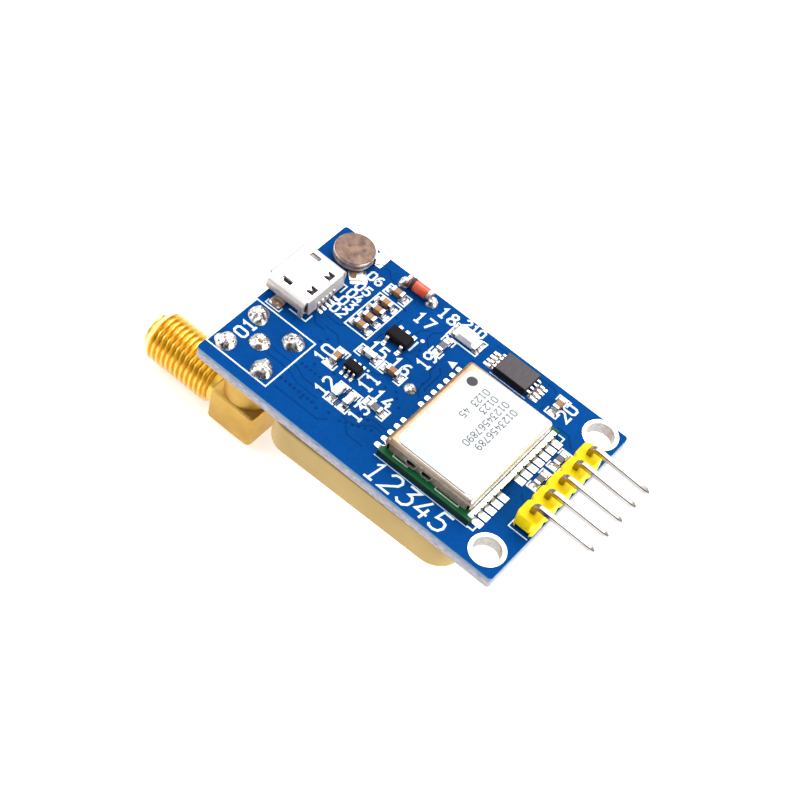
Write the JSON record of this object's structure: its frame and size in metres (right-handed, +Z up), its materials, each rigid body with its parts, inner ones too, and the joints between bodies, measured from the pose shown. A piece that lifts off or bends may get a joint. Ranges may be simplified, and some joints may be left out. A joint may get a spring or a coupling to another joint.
{
  "type": "gps module",
  "caption": "Satellite positioning module: blue circuit board with a shielded receiver, coaxial jack, USB socket and pin header on it, and a ceramic patch antenna taped underneath.",
  "frame": {"origin": "midway between the two mounting holes, on the underside of the circuit board", "axes": "+X along the board from the socket end to the header end, +Y from the near edge with the jack to the far edge, +Z up out of the component side"},
  "size_m": [0.0558, 0.0254, 0.0181],
  "materials": {
    "blue_board": "blue solder mask on glass-fibre laminate",
    "green_board": "green solder mask on glass-fibre laminate",
    "solder": "bright tin solder",
    "tinned_metal": "tin-plated",
    "shield_metal": "nickel silver sheet, pressed",
    "steel_shell": "nickel-plated sheet, folded",
    "gold_plated": "gold-plated brass",
    "ptfe": "machined PTFE",
    "antenna_ceramic": "fired dielectric ceramic",
    "silver_coat": "fired silver coat",
    "foam_tape": "double-sided adhesive tape",
    "label_paper": "satin label paper",
    "black_mould": "epoxy moulding compound",
    "grey_mould": "epoxy moulding compound, weathered grey",
    "yellow_plastic": "injection-moulded nylon",
    "brown_ceramic": "fired capacitor ceramic",
    "white_ceramic": "fired alumina",
    "dark_glaze": "resistor overglaze",
    "orange_glass": "fused glass sleeve",
    "lamp_resin": "cast clear resin over a white base",
    "cell_steel": "stainless steel with a brown heat tint",
    "seal_plastic": "moulded sealing ring"
  },
  "bodies": {
    "root": {"circuit_board": "blue_board", "hole_plating": "tinned_metal", "receiver_solder": "solder", "receiver_board": "green_board", "receiver_shield": "shield_metal", "receiver_label": "label_paper", "receiver_chip": "black_mould", "receiver_oscillator": "steel_shell", "receiver_filter": "white_ceramic", "receiver_passives": "brown_ceramic", "jack_body": "gold_plated", "jack_insulator": "ptfe", "jack_contact": "gold_plated", "jack_solder": "solder", "antenna_tape": "foam_tape", "antenna_ground": "silver_coat", "antenna_ceramic": "antenna_ceramic", "antenna_patch": "silver_coat", "antenna_feed": "tinned_metal", "antenna_solder": "solder", "usb_shell": "steel_shell", "usb_tongue": "black_mould", "usb_contacts": "gold_plated", "cell_can": "cell_steel", "cell_gasket": "seal_plastic", "cell_lid": "steel_shell", "cell_lid_tab": "tinned_metal", "cell_can_tab": "tinned_metal", "header_housing": "yellow_plastic", "header_pins": "tinned_metal", "header_solder": "solder", "capacitor_bodies": "brown_ceramic", "capacitor_ends": "tinned_metal", "resistor_bodies": "white_ceramic", "resistor_glazes": "dark_glaze", "resistor_ends": "tinned_metal", "inductor_bodies": "white_ceramic", "inductor_ends": "tinned_metal", "diode_glass": "orange_glass", "diode_ends": "tinned_metal", "regulator_body": "black_mould", "regulator_leads": "tinned_metal", "amplifier_body": "black_mould", "amplifier_leads": "tinned_metal", "memory_body": "grey_mould", "memory_leads": "tinned_metal", "lamp_base": "white_ceramic", "lamp_lens": "lamp_resin", "lamp_ends": "tinned_metal"}
  },
  "joints": []
}
